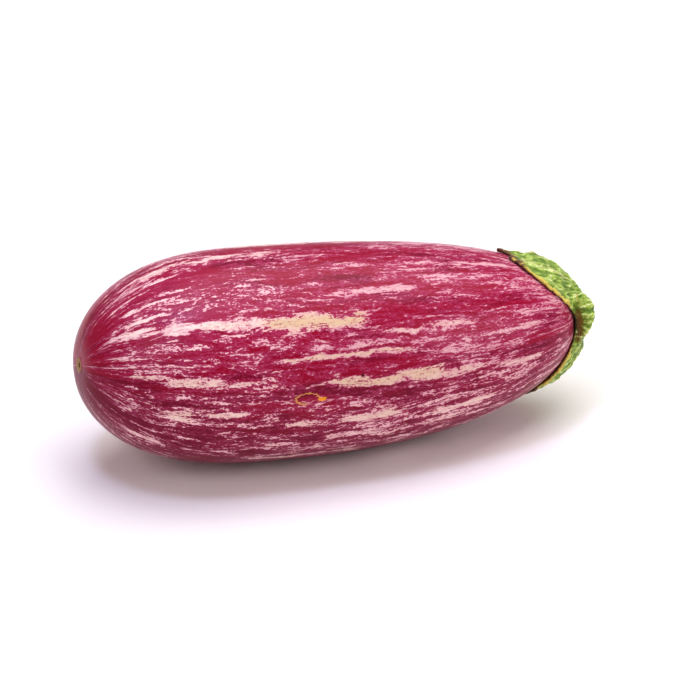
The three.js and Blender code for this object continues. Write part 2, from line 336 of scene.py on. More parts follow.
def store(piece, name, values):
    """Stores a number or a vector for each vertex, as an attribute that materials read."""
    kind, field = ("FLOAT", "value") if values.ndim == 1 else ("FLOAT_VECTOR", "vector")
    attribute = piece.data.attributes.new(name, kind, "POINT")
    attribute.data.foreach_set(field, np.ascontiguousarray(values, dtype=np.float32).ravel())


def wrapped_sphere(name, sides, rings, place):
    """A closed piece, made from a sphere. place(ring, turn, pole) gives the points of its rings.

    ring runs from 0 at one pole to 1 at the other, turn is the angle round it, and pole is true at the two.
    Returns the object, and whatever place returns after the points.
    """
    bpy.ops.object.select_all(action="DESELECT")
    bpy.ops.mesh.primitive_uv_sphere_add(segments=sides, ring_count=rings, radius=1)
    piece = bpy.context.object
    piece.name = piece.data.name = name
    ball = points_of(piece)
    ring = np.arccos(np.clip(ball[:, 2], -1, 1)) / np.pi
    turn = np.arctan2(ball[:, 1], ball[:, 0])
    points, *more = place(ring, turn, np.hypot(ball[:, 0], ball[:, 1]) < 1e-6)
    move_points(piece, points)
    bpy.ops.object.mode_set(mode="EDIT")
    bpy.ops.mesh.select_all(action="SELECT")
    bpy.ops.mesh.normals_make_consistent(inside=False)
    bpy.ops.object.mode_set(mode="OBJECT")
    bpy.ops.object.shade_smooth()
    return piece, *more


def roughness_of(points, grain, depth):
    """Soft noise for each point, whose lumps measure grain and stand depth high."""
    return depth * np.array([noise.fractal(Vector(p) / grain, 1.0, 2.0, 2) for p in points])


def finish_piece(piece, node, material):
    """Dresses a piece, and lets it stand for its CAD node on the one body."""
    piece.data.materials.clear()
    piece.data.materials.append(material)
    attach(piece, "root")
    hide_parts(node)


# ---- Materials ----


def add_node(tree, kind, inputs=None, **settings):
    """Adds a shader node. inputs maps a socket to a value, or to the output that feeds it."""
    made = tree.nodes.new("ShaderNode" + kind)
    for key, value in settings.items():
        setattr(made, key, value)
    for key, value in (inputs or {}).items():
        if isinstance(value, bpy.types.NodeSocket):
            tree.links.new(value, made.inputs[key])
        else:
            made.inputs[key].default_value = value
    return made


def new_material(name):
    """A material with only its output, and its node tree."""
    material = bpy.data.materials.new(name)
    material.use_nodes = True
    material.node_tree.nodes.clear()
    return material, material.node_tree


class NodeKit:
    """The patterns, masks and layers that the materials are made of. Their sizes are in millimetres."""

    def __init__(self, tree):
        self.tree = tree

    def grain(self, vector, width, run, detail, roughness, seed, output=0):
        """Noise whose grain measures width across, and run along the vector's last axis.

        Its output 0 is a value between 0 and 1, and its output 1 a colour.
        """
        scale = (1 / (width * MM), 1 / (width * MM), 1 / (run * MM))
        inputs = {"Vector": vector, "Scale": scale, "Location": (seed, 0, seed)}
        mapped = add_node(self.tree, "Mapping", inputs).outputs[0]
        inputs = {"Vector": mapped, "Scale": 1.0, "Detail": detail, "Roughness": roughness}
        return add_node(self.tree, "TexNoise", inputs).outputs[output]

    def shifted(self, vector, reach, *grain):
        """vector moved by noise of that grain, at most half of reach each way."""
        noise = self.grain(vector, *grain, output=1)
        centred = add_node(self.tree, "VectorMath", {0: noise, 1: (0.5, 0.5, 0.5)}, operation="SUBTRACT")
        inputs = {0: centred.outputs[0], 1: tuple(step * MM for step in reach), 2: vector}
        return add_node(self.tree, "VectorMath", inputs, operation="MULTIPLY_ADD").outputs[0]

    def total(self, first, *weighted):
        """The first value, plus each further one times its weight."""
        for value, weight in weighted:
            inputs = {0: value, 1: weight, 2: first}
            first = add_node(self.tree, "Math", inputs, operation="MULTIPLY_ADD").outputs[0]
        return first

    def off(self, value, middle):
        """How far value is from middle, either way."""
        away = add_node(self.tree, "Math", {0: value, 1: middle}, operation="SUBTRACT").outputs[0]
        return add_node(self.tree, "Math", {0: away}, operation="ABSOLUTE").outputs[0]

    def mask(self, low, high, *values, top=1.0):
        """0 where the total of the values is low, top where it is high, and smooth between."""
        inputs = {"Value": self.total(*values), "From Min": low, "From Max": high, "To Max": top}
        return add_node(self.tree, "MapRange", inputs, interpolation_type="SMOOTHSTEP").outputs[0]

    def painted(self, colour, *layers):
        """A colour with layers over it, each given as how far it covers, from 0 to 1, and its colour."""
        for cover, paint in layers:
            inputs = {0: cover, 6: colour, 7: paint}
            colour = add_node(self.tree, "Mix", inputs, data_type="RGBA").outputs[2]
        return colour

    def spot(self, place, radius, azimuth, at, wide, high):
        """How far off an ellipse's middle is, as a share of the ellipse, and the place in it.

        It lies on unrolled skin of that radius, at an azimuth in degrees and a length along it, and wide and
        high are its half axes.
        """
        turn = {"Vector": place, "Rotation": (0, 0, -math.radians(azimuth))}
        turned = add_node(self.tree, "Mapping", turn).outputs[0]
        # The depth counts too, so that the far side of the fruit is far off.
        depth = 4
        scale = (depth / radius, 1 / (high * MM), 1 / (wide * MM))
        inputs = {"Vector": turned, "Location": (-depth, 0, -at / (wide * MM)), "Scale": scale}
        local = add_node(self.tree, "Mapping", inputs).outputs[0]
        return add_node(self.tree, "VectorMath", {0: local}, operation="LENGTH").outputs[1], local

    def surface(self, colour, relief, strength, depth, settings):
        """Ends the material in a shader with that colour and relief. settings gives its other inputs."""
        bump_inputs = {"Height": relief, "Strength": strength, "Distance": depth * MM}
        bumps = add_node(self.tree, "Bump", bump_inputs).outputs[0]
        inputs = {"Base Color": colour, "Normal": bumps, **settings}
        shader = add_node(self.tree, "BsdfPrincipled", inputs).outputs[0]
        add_node(self.tree, "OutputMaterial", {"Surface": shader})


# ---- The fruit ----

FRUIT_SIDES, FRUIT_RINGS = 288, 220
# The blossom scar's dimple, the corky ring in it and the pit in that: depth or height, radius, and width.
DIMPLE = (0.9 * MM, 5.5 * MM)
SCAR_RING = (0.35 * MM, 1.45 * MM, 0.45 * MM)
SCAR_PIT = (0.7 * MM, 0.55 * MM)
# The radii between which the cork and the pit begin.
CORK_FROM = (2.3 * MM, 1.6 * MM)
PIT_FROM = (0.95 * MM, 0.5 * MM)
# How far outwards and inwards each end of a broad streak fades, in shares of the length, and the shares of
# its half width where its core ends and where nothing is left of it.
STREAK_FADES = (0.02, 0.03)
STREAK_CORE, STREAK_REACH = 0.3, 1.6
# The broad streaks: azimuth in degrees, first and last share of the length, half width in degrees,
# strength, and how creamy each is.
STREAKS = (
    # On the front.
    (49, 0.03, 0.12, 3.4, 0.62, 0.0),
    (45, 0.09, 0.24, 3.4, 0.58, 0.05),
    (44, 0.20, 0.36, 3.0, 0.52, 0.25),
    (43, 0.33, 0.54, 4.0, 0.50, 1.0),
    (35, 0.52, 0.74, 1.3, 0.40, 0.3),
    (24, 0.35, 0.62, 1.0, 0.42, 0.7),
    (16, 0.06, 0.13, 1.6, 0.34, 0.4),
    (14, 0.12, 0.25, 2.0, 0.42, 0.35),
    (13, 0.22, 0.34, 1.4, 0.38, 0.3),
    (10, 0.33, 0.46, 0.9, 0.32, 0.5),
    (10, 0.45, 0.67, 3.0, 0.46, 0.8),
    (7, 0.62, 0.76, 1.8, 0.34, 0.4),
    (-5, 0.13, 0.19, 2.4, 0.42, 0.5),
    (-4, 0.20, 0.29, 1.2, 0.27, 0.3),
    (-12, 0.36, 0.43, 2.0, 0.42, 0.4),
    (-12, 0.49, 0.60, 2.6, 0.42, 0.45),
    (-17, 0.64, 0.78, 2.2, 0.37, 0.2),
    (-33, 0.07, 0.13, 2.6, 0.37, 0.1),
    (4, 0.79, 0.90, 2.4, 0.37, 0.2),
    (28, 0.80, 0.89, 2.0, 0.32, 0.1),
    (-6, 0.89, 0.98, 6.0, 0.29, 0.1),
    # Thin ones on top, near the tip.
    (57, 0.08, 0.19, 0.8, 0.62, 0.0),
    (63, 0.17, 0.27, 0.6, 0.55, 0.0),
    (68, 0.06, 0.16, 0.7, 0.62, 0.0),
    (73, 0.14, 0.23, 0.6, 0.60, 0.0),
    (79, 0.05, 0.14, 0.7, 0.60, 0.0),
    (86, 0.11, 0.22, 0.8, 0.50, 0.0),
    # On the top, the far side and underneath.
    (66, 0.66, 0.83, 1.4, 0.34, 0.0),
    (60, 0.48, 0.68, 1.4, 0.32, 0.0),
    (78, 0.60, 0.88, 1.8, 0.40, 0.0),
    (-25, 0.45, 0.72, 2.5, 0.27, 0.1),
    (96, 0.10, 0.40, 2.2, 0.34, 0.2),
    (112, 0.30, 0.62, 2.6, 0.40, 0.6),
    (133, 0.06, 0.30, 2.0, 0.32, 0.1),
    (140, 0.42, 0.70, 2.6, 0.45, 0.7),
    (158, 0.18, 0.44, 1.8, 0.34, 0.3),
    (171, 0.50, 0.84, 2.2, 0.40, 0.5),
    (189, 0.12, 0.36, 2.8, 0.42, 0.6),
    (203, 0.40, 0.66, 1.6, 0.34, 0.3),
    (221, 0.62, 0.90, 2.4, 0.34, 0.1),
    (236, 0.20, 0.52, 2.4, 0.42, 0.7),
    (255, 0.08, 0.28, 1.8, 0.34, 0.1),
    (262, 0.50, 0.80, 2.2, 0.37, 0.4),
    (283, 0.26, 0.58, 2.0, 0.37, 0.4),
    (300, 0.56, 0.86, 2.6, 0.34, 0.2),
    (316, 0.30, 0.55, 1.8, 0.29, 0.2),
)
# How the streaks' outlines wander, and fray at a smaller scale: the grain, and then the reach in degrees
# round the fruit or in shares of its length.
WANDER_ROUND, FRAY_ROUND = (4 * MM, 2.0), (1.3 * MM, 1.6)
WANDER_ALONG, FRAY_ALONG = (5 * MM, 0.02), (1.5 * MM, 0.012)
# What the patterns of the skin add up to where the crimson turns to haze, where it turns pale, and where the
# pale streaks turn bright.
HAZY = (1.90, 2.32)
PALE = (2.31, 2.42)
BRIGHT = (2.42, 2.85)
TOP, BELLY = 88, -80  # the azimuths of the most streaked skin, and of the skin that lies in the shade
# Two patches of the top near the tip, one with few streaks and one of painted sheen: middle and width in
# degrees, then as shares of the length.
BARE_PATCH = (68, 15, 0.15, 0.06)
SHEEN_PATCH = (62, 30, 0.17, 0.12)
# Healed scratches: azimuth in degrees, place along the fruit in metres, half width and half height in
# millimetres, and the scabs' colours.
LOOP_SCAR = (3, 56.5 * MM, 3.2, 1.5)
SCABS = (
    ((2.4, 60.4 * MM, 1.15, 0.7), "#DE9428"),
    ((13, 71.3 * MM, 0.45, 0.5), "#4A1A14"),
    ((47, 121 * MM, 0.35, 0.3), "#4A1A14"),
)


def patch(at, azimuth, middle, width, station, run):
    """A soft patch of the skin: 1 in its middle, and fading all round."""
    return bump(swing(azimuth, middle), 0, width) * bump(at, station, run)


def skin_attributes(size, at, azimuth):
    """What the skin's material reads at each point.

    skin is its place on the unrolled skin. The rest are shares: guide is how strongly a streak is called
    for, cream how creamy it is, belly how far underneath it lies, where the crimson is painted darker as
    shade, blush how pink the streaks are there, and haze how pink the skin between them is, together with
    a painted sheen on the top near the tip.
    """
    skin = np.stack([size.radius * np.cos(azimuth), size.radius * np.sin(azimuth), size.length * at], -1)
    drawn_out = skin * DRAWN_OUT
    around = roughness_of(drawn_out, *WANDER_ROUND) + roughness_of(drawn_out, *FRAY_ROUND)
    along = roughness_of(drawn_out + 1, *WANDER_ALONG) + roughness_of(drawn_out + 1, *FRAY_ALONG)
    guide = np.zeros_like(at)
    cream = np.zeros_like(at)
    for middle, start, end, half, strength, creaminess in STREAKS:
        off = np.abs(swing(azimuth, middle - around))
        streak = smooth_step(at + along, start - STREAK_FADES[0], start + STREAK_FADES[1])
        streak *= 1 - smooth_step(at + along, end - STREAK_FADES[1], end + STREAK_FADES[0])
        streak *= 1 - smooth_step(off, STREAK_CORE * half, STREAK_REACH * half)
        guide = np.maximum(guide, strength * streak)
        cream = np.maximum(cream, creaminess * streak)

    # The stem half has more of the thin streaks, most of all on top.
    top = smooth_step(np.cos(azimuth - np.radians(TOP)), 0.75, 1)
    guide += (0.05 + 0.07 * top) * smooth_step(at, 0.5, 0.7)
    # They close up towards the tip, and are also thinned out there so that the blossom end is darker, as
    # painted shade; near it the top has only a few.
    guide -= 0.22 * (1 - smooth_step(at, 0.01, 0.07))
    guide -= 0.20 * patch(at, azimuth, *BARE_PATCH)
    # How far underneath a point lies: the crimson is painted darker there, as shade.
    belly = smooth_step(np.cos(azimuth - np.radians(BELLY)), -0.3, 0.9)
    # But for the creamy ones, the streaks of the stem half are pinker, and so is the skin between them.
    blush = 0.42 * (1 - belly) * (1 - cream) * smooth_step(at, 0.2, 0.55)
    # On the top near the tip, a painted sheen is laid over the skin as well.
    haze = 0.15 * blush + 0.46 * patch(at, azimuth, *SHEEN_PATCH)
    return {"skin": skin, "guide": guide, "cream": cream, "belly": belly, "blush": blush, "haze": haze}


def skin_material(size):
    """Eggplant skin: a thin waxy cuticle over crimson cells, so it is smooth and glossy, with unpigmented
    streaks that run from end to end and break up into a net of fine lines and speckle."""
    material, tree = new_material("waxy_eggplant_skin")
    place = add_node(tree, "Attribute", attribute_name="skin").outputs["Vector"]
    guide, creamy, belly, blush, haze, tip = (
        add_node(tree, "Attribute", attribute_name=name).outputs["Fac"]
        for name in ("guide", "cream", "belly", "blush", "haze", "tip")
    )
    kit = NodeKit(tree)

    # The streaks wander from side to side, and their cells break ranks on a small scale.
    wavy = kit.shifted(place, (5, 5, 6), 6, 18, 2, 0.5, 3.1)
    ragged = kit.shifted(wavy, (1.3, 1.3, 2.2), 1.0, 1.5, 2, 0.6, 7.7)

    # Patches, streaks, fibres, speckle and net add up, and what stands over the threshold is unpigmented.
    patches = kit.grain(wavy, 9, 34, 2, 0.5, 11.7)
    streaks = kit.grain(ragged, 1.5, 14, 3, 0.6, 5.3)
    fibres = kit.grain(ragged, 0.62, 4.8, 3, 0.65, 8.9)
    speckle = kit.grain(place, 0.40, 0.8, 1, 0.5, 2.2)
    net = kit.mask(0.05, 0.01, kit.off(kit.grain(ragged, 2.3, 6.0, 2, 0.5, 15.1), 0.5))
    paleness = kit.total(guide, (patches, 0.85), (streaks, 1.55), (fibres, 1.2), (speckle, 0.65), (net, 0.16))
    unpigmented = kit.mask(*PALE, paleness)
    mottle = kit.grain(wavy, 4.5, 26, 3, 0.6, 21.0)
    crimson = kit.painted(
        size.dark,
        # Base crimson where the mottle is high, with less of it underneath as painted shade.
        (kit.mask(0.32, 0.54, mottle, (belly, -0.24)), size.base),
        (kit.mask(*HAZY, paleness, top=0.85), size.haze),
        # Pinker skin of the stem half, and a painted sheen on the top near the tip.
        (haze, size.haze),
        # Painted shade: the underside is darkened further.
        (kit.total(0.0, (belly, 0.42)), size.dark),
    )
    flecks = kit.grain(ragged, 0.5, 1.5, 3, 0.7, 27.0)
    pale = kit.painted(
        size.streak,
        (kit.mask(*BRIGHT, paleness), size.bright),
        (creamy, size.cream),
        (blush, size.haze),
        (kit.mask(0.54, 0.66, flecks, top=0.7), size.haze),
    )

    # Small healed scratches: an open loop with a scab at its end, and two nicks.
    ring, local = kit.spot(place, size.radius, *LOOP_SCAR)
    across, along = add_node(tree, "SeparateXYZ", {0: local}).outputs[1:]
    loop = kit.mask(0.18, 0.05, kit.off(kit.total(ring, (speckle, 0.6)), 1.30), top=0.85)
    closed = kit.mask(-1.1, -0.7, across, (along, -0.8))
    loop = add_node(tree, "Math", {0: loop, 1: closed}, operation="MINIMUM").outputs[0]
    scabs = [
        (kit.mask(1.7, 1.2, kit.spot(place, size.radius, *where)[0], (speckle, 1.2)), linear(tint))
        for where, tint in SCABS
    ]

    cork = kit.mask(*CORK_FROM, tip)
    pit = kit.mask(*PIT_FROM, tip)
    skin = kit.painted(
        crimson, (unpigmented, pale), (loop, size.healed), *scabs, (cork, size.cork), (pit, size.pit)
    )
    relief = kit.total(fibres, (unpigmented, 0.5), (loop, 1.0))
    # The wax is glossy, and the cork dull.
    gloss = add_node(tree, "Math", {0: 0.28, 1: cork}, operation="MAXIMUM").outputs[0]
    kit.surface(skin, relief, 0.25, 0.06, {"Roughness": gloss, "IOR": 1.42, "Specular IOR Level": 0.18})
    return material


class EGGPLANT_OT_fruit(bpy.types.Operator):
    """The whole fruit, with its flat spot and its blossom scar"""

    bl_idname = "eggplant.fruit"
    bl_label = "Fruit"

    def execute(self, context):
        """Models the fruit from a sphere, and stores where each point is on its skin."""
        size = context.scene.eggplant_fruit
        form = FruitForm(size)

        def place(ring, turn, pole):
            at = (1 - np.cos(np.pi * ring)) / 2
            near_tip = at < size.widest / 2
            radius = form.radius(at)
            relief = DIMPLE[0] * bump(radius, 0, DIMPLE[1])
            relief -= SCAR_RING[0] * bump(radius, SCAR_RING[1], SCAR_RING[2])
            relief += SCAR_PIT[0] * bump(radius, 0, SCAR_PIT[1])
            along = axes(*form.heading(np.zeros(1)))[0]
            points = form.placed(form.surface(at, turn) + (relief * near_tip)[:, None] * along)
            points[:, 2] = np.maximum(points[:, 2], 0)
            return points, at, turn, np.where(near_tip, radius, size.radius)

        fruit, at, turn, tip = wrapped_sphere("fruit_skin", FRUIT_SIDES, FRUIT_RINGS, place)
        for name, values in {**skin_attributes(size, at, turn), "tip": tip}.items():
            store(fruit, name, values)
        finish_piece(fruit, "fruit", skin_material(size))
        return {"FINISHED"}


# ---- The calyx ----

COLLAR = (6.4 * MM, 1.6 * MM, 1.3 * MM)  # the fold round the stem: distance from the pole, height, width
RIM_LIFT = (10, 1.6 * MM, 34)  # where the cap's rim stands off the fruit: azimuth, height, width
# Where its brown inside shows: azimuth, half width and its fading, and from where outwards.
NOTCH = (5, 21, 5, 10.4 * MM, 11.2 * MM)
RIB_WIDTH = 16  # of the ribs that run over the cap from the lobes' midribs, in degrees
LOBE_ROOT = 6.5 * MM
# How thick a lobe is along its middle and at its edge, and how much of that it has lost at its tip.
LOBE_THICKNESS, LOBE_EDGE, LOBE_THINNING = 1.5 * MM, 0.8 * MM, 0.6
LOBE_TIP = 0.4 * MM  # half width
LOBE_WIDTHS = (0.8692, 1.2932)  # at the root and towards the tip, as shares of its half width
LOBE_ROUNDING = (2.3, 0.85)  # powers of the superellipse that rounds its tip
LEAN_POWER, CURL_POWER = 1.5, 1.6  # how late along the lobe the lean and the curl set in
EDGE_LIFT = 0.5 * MM
EDGE_WAVE = (0.3 * MM, 0.05, 1.7)  # height, share of the width, and turns from root to tip
TEETH = (31, 53)  # two finer waves of the edge, in radians from root to tip
TOOTH_SIZE = (0.015, 0.07)  # share of the width along the sides, and how much more at the tip
RAYS = 6  # veins across the underside of a folded lobe
VEIN_WIDTH = 0.45 * MM  # of a lobe's worn keel
STRAW_EDGE = (1.6 * MM, 0.5 * MM)  # how far in from the edge the straw colour begins and is full
CREASE = (0.50, 0.60, 0.035)  # the folded lobe turns green between these shares, with an edge this wide
LEAF_COORDINATES = ("ray", "face", "vein", "rim", "dry")
# The leaf's relief: grain and height of its lumps and its pits, grain of the raised web of veins and the
# width of its veins as a share of that noise, and the height of the web and of the rays and keels.
LUMPS = (3.4 * MM, 0.50 * MM)
PITS = (0.8 * MM, 0.10 * MM)
WEB_GRAIN, WEB_WIDTH = 1.6 * MM, 0.25
WEB_HEIGHT, VEIN_HEIGHT = 0.32 * MM, 0.15 * MM
LOBE_SIDES, LOBE_RINGS = 72, 76
LOBE_STEPS = 200
CAP_SIDES, CAP_RINGS = 200, 70
# The lobes, with the folded one first: azimuth of the root and lean of the tip in degrees, length and half
# width in millimetres, curl of the tip off the fruit in degrees, and height of the midrib in millimetres.
LOBES = (
    (16, 12, 11, 6.4, 160, 0.8),
    (98, 12, 22.6, 9.4, 0, 3.0),
    (70, 20, 22.5, 9.3, 2, 1.4),
    (168, 4, 28, 9.2, 13, 2.4),
    (236, -6, 25, 8.8, 12, 2.2),
    (308, -14, 20.4, 8.8, 3, 3.6),
)


def notch_at(run, azimuth):
    """How far a point of the calyx is on the rim that stands off the fruit and shows its brown inside."""
    middle, half, fading, start, full = NOTCH
    away = np.abs(swing(azimuth, middle))
    return (1 - smooth_step(away, half - fading, half + fading)) * smooth_step(run, start, full)


def lobe_piece(form, size, spec):
    """One lobe, as a closed leaf that lies along the fruit, with its leaf coordinates."""
    at, lean, reach, half, curl, keel = spec
    reach, half, keel = reach * MM, half * MM, keel * MM
    lean, bend = math.radians(lean), math.radians(curl)
    folded = curl >= 90
    slopes = bend * ((np.arange(LOBE_STEPS) + 0.5) / LOBE_STEPS) ** CURL_POWER
    stations = np.arange(LOBE_STEPS + 1) / LOBE_STEPS
    runs = LOBE_ROOT + np.concatenate([[0], np.cumsum(np.cos(slopes))]) * reach / LOBE_STEPS
    heights = size.gap + np.concatenate([[0], np.cumsum(np.sin(slopes))]) * reach / LOBE_STEPS

    def place(ring, turn, pole):
        along = np.clip((ring * LOBE_RINGS - 1) / (LOBE_RINGS - 2), 0, 1)
        across = np.where(pole, 0, np.cos(turn))
        upper = np.where(pole, 0, np.sin(turn))
        run = np.interp(along, stations, runs)
        height = np.interp(along, stations, heights)
        slope = bend * along**CURL_POWER

        # The outline: rounded at the tip, with a wavy and finely toothed edge.
        ruffle = np.sin(2 * np.pi * EDGE_WAVE[2] * along + at + across)
        teeth = np.sin(TEETH[0] * along + at) + np.sin(TEETH[1] * along + 3 * across + 2 * at)
        teeth *= TOOTH_SIZE[0] + TOOTH_SIZE[1] * smooth_step(along, 0.7, 1)
        wide = half * np.interp(along, (0, 1), LOBE_WIDTHS)
        wide = wide * (1 - along ** LOBE_ROUNDING[0]) ** LOBE_ROUNDING[1]
        wide = np.maximum(wide * (1 + EDGE_WAVE[1] * ruffle + teeth), LOBE_TIP)
        azimuth = math.radians(at) + lean * along**LEAN_POWER
        azimuth = azimuth + across * wide / form.shoulder_radius(run)

        # The thickness, with the midrib on it. The edges turn up, and thicken there to lie on the fruit.
        thinner = 1 - LOBE_THINNING * smooth_step(along, 0.4, 1)
        thick = (LOBE_EDGE + (LOBE_THICKNESS - LOBE_EDGE) * (1 - across**2)) * thinner
        ridge = keel * (1 - np.abs(across)) ** 1.4 * (1 - 0.9 * along) * thinner
        face = 0.5 + 0.5 * np.sign(upper) * np.abs(upper) ** 0.5
        turned_up = (EDGE_LIFT * along + EDGE_WAVE[0] * (1 + ruffle)) * across**4
        raised = (turned_up + thick) * face + ridge * smooth_step(upper, 0, 0.3)
        points = form.shoulder(run - raised * np.sin(slope), azimuth, height + raised * np.cos(slope))
        points = form.placed(points)

        from_edge = (1 - np.abs(across)) * wide
        rim = smooth_step(from_edge, *STRAW_EDGE)
        rim = np.maximum(rim, smooth_step(along, 0.97, 1.0)) * smooth_step(run, size.reach, 1.25 * size.reach)
        none = 0 * along
        if folded:
            # It shows its underside, with pale veins. It rises brown, and is green from the crease on.
            ray = smooth_step(np.cos(RAYS * np.pi * across + 1.2 * np.sin(5 * along)), 0.4, 1)
            face = smooth_step(along, CREASE[0], CREASE[1])
            rim = np.maximum(0.3 * rim, 0.8 * bump(along, CREASE[1], CREASE[2]))
            return points, np.stack([ray, face, none, rim, none], -1)
        vein = bump(across * wide, 0, VEIN_WIDTH) * (upper > -0.2) * smooth_step(run, COLLAR[0], size.reach)
        dry = smooth_step(along, 0.72, 1.0)
        green = 1 - notch_at(run, azimuth)
        return points, np.stack([none, face * green, vein, rim * green, dry], -1)

    return wrapped_sphere("lobe", LOBE_SIDES, LOBE_RINGS, place)


def cap_piece(form, size):
    """The cap that the lobes grow from, with its collar round the stem."""

    def place(ring, turn, pole):
        run = size.reach * np.sin(np.pi * ring) ** 0.9
        lift = RIM_LIFT[1] * smooth_step(run, LOBE_ROOT, size.reach)
        low = size.gap + lift * bump(swing(turn, RIM_LIFT[0]), 0, RIM_LIFT[2])
        rib = np.max([lobe[-1] * bump(swing(turn, lobe[0]), 0, RIB_WIDTH) for lobe in LOBES], axis=0) * MM
        outside = smooth_step(run, COLLAR[0], size.reach)
        thick = size.thickness + (size.edge - size.thickness + rib) * outside
        thick = thick + COLLAR[1] * bump(run, COLLAR[0], COLLAR[2])
        side = np.sign(ring - 0.5) * np.sqrt(1 - np.minimum(run / size.reach, 1) ** 8)
        face = 0.5 + 0.5 * side
        points = form.placed(form.shoulder(run, turn, low + thick * face))
        none = 0 * run
        return points, np.stack([none, face * (1 - notch_at(run, turn)), none, none, none], -1)

    return wrapped_sphere("cap", CAP_SIDES, CAP_RINGS, place)


def grown_together(name, parts, voxel):
    """Joins closed parts into one body, and carries their leaf coordinates over to it."""
    before = np.concatenate([points_of(piece) for piece, _ in parts])
    leaf = np.concatenate([values for _, values in parts])
    tree = kdtree.KDTree(len(before))
    for i, point in enumerate(before):
        tree.insert(point, i)
    tree.balance()
    select_only(*[piece for piece, _ in parts])
    bpy.ops.object.join()
    body = bpy.context.object
    body.name = body.data.name = name
    remesh = body.modifiers.new("grow together", "REMESH")
    remesh.mode = "VOXEL"
    remesh.voxel_size = voxel
    bpy.ops.object.modifier_apply(modifier=remesh.name)
    relax = body.modifiers.new("relax", "SMOOTH")
    relax.factor, relax.iterations = 0.5, 4
    bpy.ops.object.modifier_apply(modifier=relax.name)
    bpy.ops.object.shade_smooth()
    # Each new point takes the mean of the five nearest old ones, the nearer the more.
    carried = []
    for point in points_of(body):
        near = tree.find_n(point, 5)
        weights = np.array([1 / (distance + 0.05 * MM) ** 2 for _, _, distance in near])
        carried.append(weights @ leaf[[index for _, index, _ in near]] / weights.sum())
    return body, np.array(carried)


def calyx_material(size):
    """Calyx leaf: leathery and matt, with fibres that fan out from the stem, brownish keels, thin edges of
    straw colour, and tips that have dried to brown paper."""
    material, tree = new_material("leathery_calyx_leaf")
    place = add_node(tree, "TexCoord").outputs["Object"]
    fibre = add_node(tree, "Attribute", attribute_name="fibre").outputs["Vector"]
    web, vein, rim, dry, ray, face = (
        add_node(tree, "Attribute", attribute_name=name).outputs["Fac"]
        for name in ("web", "vein", "rim", "dry", "ray", "face")
    )
    kit = NodeKit(tree)
    mottle = kit.grain(place, 3.0, 3.0, 4, 0.6, 1.3)
    strands = kit.grain(fibre, 0.7, 2.0, 4, 0.65, 4.1)
    pits = kit.grain(place, 0.45, 0.45, 2, 0.6, 6.6)
    flecks = kit.grain(fibre, 1.3, 2.0, 3, 0.7, 9.2)

    # Paler where the web is raised and the rays run, darker between: the rays are pale veins, and the web's
    # share is painted highlight on the ridges and painted shade in the furrows.
    tone = kit.total(0.0, (mottle, 0.7), (strands, 0.9), (pits, 0.5), (web, 0.34), (ray, 0.25))
    # The same grain frays the outline of all that is laid over the green.
    ragged = kit.total(-1.15, (mottle, 0.9), (strands, 0.7), (pits, 0.7))
    paper = kit.painted(size.dry, (kit.mask(0.5, 0.66, strands, top=0.7), size.rim))
    leaf = kit.painted(
        size.leaf_dark,
        (kit.mask(0.98, 1.28, tone), size.leaf),
        (kit.mask(1.26, 1.54, tone), size.leaf_pale),
        (kit.mask(0.45, 0.85, ragged, (vein, 1.0), top=0.8), size.vein),
        (kit.mask(0.45, 0.8, ragged, (rim, 1.0), top=0.9), size.rim),
        (kit.mask(0.22, 0.05, ragged, (face, 0.6), top=0.9), size.beneath),
        (kit.mask(0.45, 0.70, ragged, (dry, 1.0)), paper),
        (kit.mask(0.67, 0.72, flecks, (rim, 0.09), top=0.85), size.scab),
    )
    relief = kit.total(strands, (mottle, 0.5), (pits, 0.8), (vein, 0.4))
    matt = {"Roughness": 0.55, "Specular IOR Level": 0.3, "Sheen Weight": 0.15, "Sheen Roughness": 0.5}
    kit.surface(leaf, relief, 0.7, 0.3, matt)
    return material


class EGGPLANT_OT_calyx(bpy.types.Operator):
    """The calyx: the cap and its lobes, grown together"""

    bl_idname = "eggplant.calyx"
    bl_label = "Calyx"

    def execute(self, context):
        """Models the cap and each lobe, joins them and raises their veins."""
        size = context.scene.eggplant_calyx
        form = FruitForm(context.scene.eggplant_fruit)
        parts = [cap_piece(form, size)] + [lobe_piece(form, size, spec) for spec in LOBES]
        calyx, leaf = grown_together("calyx_leaf", parts, size.voxel)
        points = points_of(calyx)
        fibre = form.round_the_stem(points)
        web = np.abs(roughness_of(fibre * DRAWN_OUT, WEB_GRAIN, 1.0))
        web = 1 - np.minimum(web / WEB_WIDTH, 1)
        relief = roughness_of(points, *LUMPS) + roughness_of(points + 1, *PITS) + WEB_HEIGHT * web
        ray, face, vein, _, _ = leaf.T
        relief = (relief + VEIN_HEIGHT * (ray + vein)) * smooth_step(face, 0.15, 0.6)
        move_points(calyx, points + normals_of(calyx) * relief[:, None])
        for name, values in {**dict(zip(LEAF_COORDINATES, leaf.T)), "fibre": fibre, "web": web}.items():
            store(calyx, name, values)
        finish_piece(calyx, "calyx", calyx_material(size))
        return {"FINISHED"}


# ---- The stem ----

STEM_SIDES, STEM_RINGS = 120, 90
STEM_STEPS = 20
STEM_BODY = 0.8  # share of the rings up to the cut edge
STEM_FLARE = 1.1 * MM
STEM_RIBS = (6, 0.28 * MM)
STEM_LUMPS = (2.2 * MM, 0.14 * MM)  # grain and height, also of the finer roughness
STEM_ROUGHNESS = (0.6 * MM, 0.05 * MM)
CUT_DISH = 0.5 * MM  # how far the cut face has sunk as it dried


